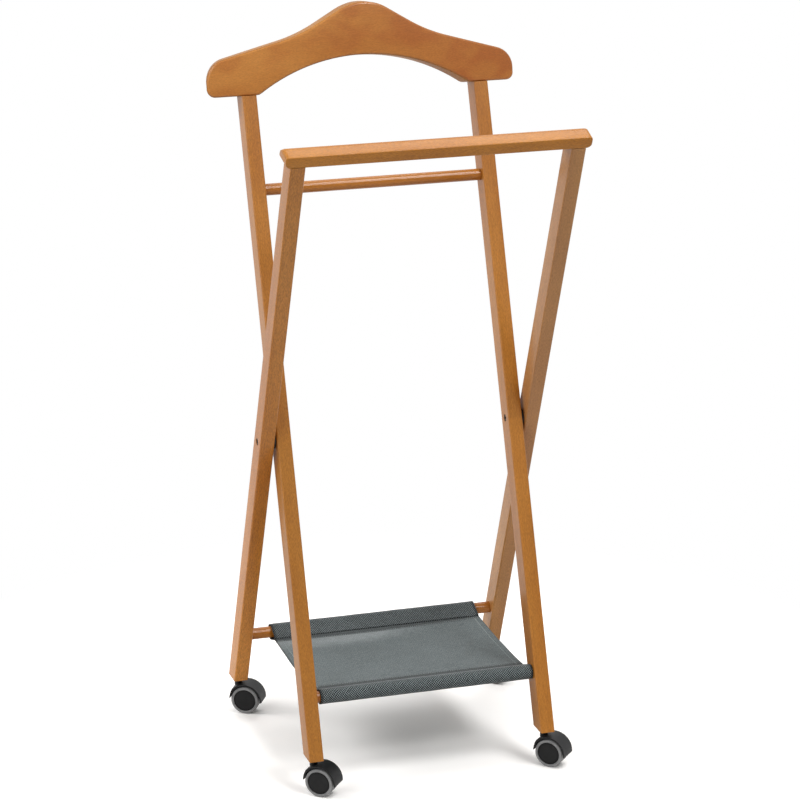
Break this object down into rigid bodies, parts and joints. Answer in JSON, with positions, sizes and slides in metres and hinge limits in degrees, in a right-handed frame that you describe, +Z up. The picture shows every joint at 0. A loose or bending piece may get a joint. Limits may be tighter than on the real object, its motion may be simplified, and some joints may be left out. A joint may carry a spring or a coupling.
{
  "type": "folding clothes valet",
  "caption": "Folding wooden clothes valet on casters: crossed leg frames with a coat hanger board, trouser bar, top rail and a cloth shelf.",
  "frame": {"origin": "on the floor, under the middle of the open valet's bounding box", "axes": "+Z up, +X to the right as seen from the front, the front with the top rail faces -Y"},
  "size_m": [0.4413, 0.3802, 1.0024],
  "materials": {
    "hanger_wood": "satin lacquered beech",
    "leg_wood": "satin lacquered beech",
    "rail_wood": "satin lacquered beech",
    "raw_wood": "unfinished beech, hidden in the joints",
    "shelf_cloth": "slate woven cloth",
    "sleeve_cloth": "the same cloth, doubled and sewn",
    "washer_plastic": "plain",
    "pivot_metal": "dark burnished",
    "caster_steel": "bright zinc plated",
    "caster_plastic": "smooth black nylon",
    "tread_rubber": "mid grey, finely ringed"
  },
  "bodies": {
    "hanger_frame": {"hanger_board": "hanger_wood", "inner_leg_left": "leg_wood", "inner_leg_right": "leg_wood", "hanger_joint_pins": "raw_wood", "trouser_bar": "rail_wood", "front_shelf_dowel": "rail_wood", "front_caster_sockets": "caster_steel", "front_cloth_sleeve": "sleeve_cloth", "shelf_cloth": "shelf_cloth", "front_left_caster_stem": "caster_steel", "front_right_caster_stem": "caster_steel"},
    "rail_frame": {"top_rail": "rail_wood", "outer_leg_left": "leg_wood", "outer_leg_right": "leg_wood", "rail_joint_pins": "raw_wood", "rear_shelf_dowel": "rail_wood", "rear_caster_sockets": "caster_steel", "rear_cloth_sleeve": "sleeve_cloth", "pivot_sleeve_left": "pivot_metal", "pivot_sleeve_right": "pivot_metal", "pivot_bolt_left": "pivot_metal", "pivot_bolt_right": "pivot_metal", "pivot_washer_left": "washer_plastic", "pivot_washer_right": "washer_plastic", "rear_left_caster_stem": "caster_steel", "rear_right_caster_stem": "caster_steel"},
    "front_left_swivel_body": {"front_left_caster_hood": "caster_plastic", "front_left_caster_axle": "caster_steel"},
    "front_left_near_wheel": {"front_left_caster_near_hub": "caster_plastic", "front_left_caster_near_tread": "tread_rubber"},
    "front_left_far_wheel": {"front_left_caster_far_hub": "caster_plastic", "front_left_caster_far_tread": "tread_rubber"},
    "front_right_swivel_body": {"front_right_caster_hood": "caster_plastic", "front_right_caster_axle": "caster_steel"},
    "front_right_near_wheel": {"front_right_caster_near_hub": "caster_plastic", "front_right_caster_near_tread": "tread_rubber"},
    "front_right_far_wheel": {"front_right_caster_far_hub": "caster_plastic", "front_right_caster_far_tread": "tread_rubber"},
    "rear_left_swivel_body": {"rear_left_caster_hood": "caster_plastic", "rear_left_caster_axle": "caster_steel"},
    "rear_left_near_wheel": {"rear_left_caster_near_hub": "caster_plastic", "rear_left_caster_near_tread": "tread_rubber"},
    "rear_left_far_wheel": {"rear_left_caster_far_hub": "caster_plastic", "rear_left_caster_far_tread": "tread_rubber"},
    "rear_right_swivel_body": {"rear_right_caster_hood": "caster_plastic", "rear_right_caster_axle": "caster_steel"},
    "rear_right_near_wheel": {"rear_right_caster_near_hub": "caster_plastic", "rear_right_caster_near_tread": "tread_rubber"},
    "rear_right_far_wheel": {"rear_right_caster_far_hub": "caster_plastic", "rear_right_caster_far_tread": "tread_rubber"}
  },
  "joints": [
    {"name": "fold", "type": "hinge", "parent": "hanger_frame", "child": "rail_frame", "pos_m": [0, -0.006, 0.4502], "axis": [-1, 0, 0], "range_deg": [0, 32], "deforming": ["shelf_cloth"]},
    {"name": "front_left_swivel", "type": "hinge", "parent": "hanger_frame", "child": "front_left_swivel_body", "pos_m": [-0.1636, -0.15446, 0.041], "axis": [0, 0, 1], "continuous": true},
    {"name": "front_left_near_wheel_spin", "type": "hinge", "parent": "front_left_swivel_body", "child": "front_left_near_wheel", "pos_m": [-0.15441, -0.16218, 0.02], "axis": [0.6428, 0.766, 0], "continuous": true},
    {"name": "front_left_far_wheel_spin", "type": "hinge", "parent": "front_left_swivel_body", "child": "front_left_far_wheel", "pos_m": [-0.15441, -0.16218, 0.02], "axis": [0.6428, 0.766, 0], "continuous": true},
    {"name": "front_right_swivel", "type": "hinge", "parent": "hanger_frame", "child": "front_right_swivel_body", "pos_m": [0.1636, -0.15446, 0.041], "axis": [0, 0, 1], "continuous": true},
    {"name": "front_right_near_wheel_spin", "type": "hinge", "parent": "front_right_swivel_body", "child": "front_right_near_wheel", "pos_m": [0.17223, -0.1628, 0.02], "axis": [0.6947, 0.7193, 0], "continuous": true},
    {"name": "front_right_far_wheel_spin", "type": "hinge", "parent": "front_right_swivel_body", "child": "front_right_far_wheel", "pos_m": [0.17223, -0.1628, 0.02], "axis": [0.6947, 0.7193, 0], "continuous": true},
    {"name": "rear_left_swivel", "type": "hinge", "parent": "rail_frame", "child": "rear_left_swivel_body", "pos_m": [-0.1873, 0.14246, 0.041], "axis": [0, 0, 1], "continuous": true},
    {"name": "rear_left_near_wheel_spin", "type": "hinge", "parent": "rear_left_swivel_body", "child": "rear_left_near_wheel", "pos_m": [-0.17701, 0.13628, 0.02], "axis": [0.515, 0.8572, 0], "continuous": true},
    {"name": "rear_left_far_wheel_spin", "type": "hinge", "parent": "rear_left_swivel_body", "child": "rear_left_far_wheel", "pos_m": [-0.17701, 0.13628, 0.02], "axis": [0.515, 0.8572, 0], "continuous": true},
    {"name": "rear_right_swivel", "type": "hinge", "parent": "rail_frame", "child": "rear_right_swivel_body", "pos_m": [0.1873, 0.14246, 0.041], "axis": [0, 0, 1], "continuous": true},
    {"name": "rear_right_near_wheel_spin", "type": "hinge", "parent": "rear_right_swivel_body", "child": "rear_right_near_wheel", "pos_m": [0.19578, 0.13398, 0.02], "axis": [0.7071, 0.7071, 0], "continuous": true},
    {"name": "rear_right_far_wheel_spin", "type": "hinge", "parent": "rear_right_swivel_body", "child": "rear_right_far_wheel", "pos_m": [0.19578, 0.13398, 0.02], "axis": [0.7071, 0.7071, 0], "continuous": true}
  ]
}
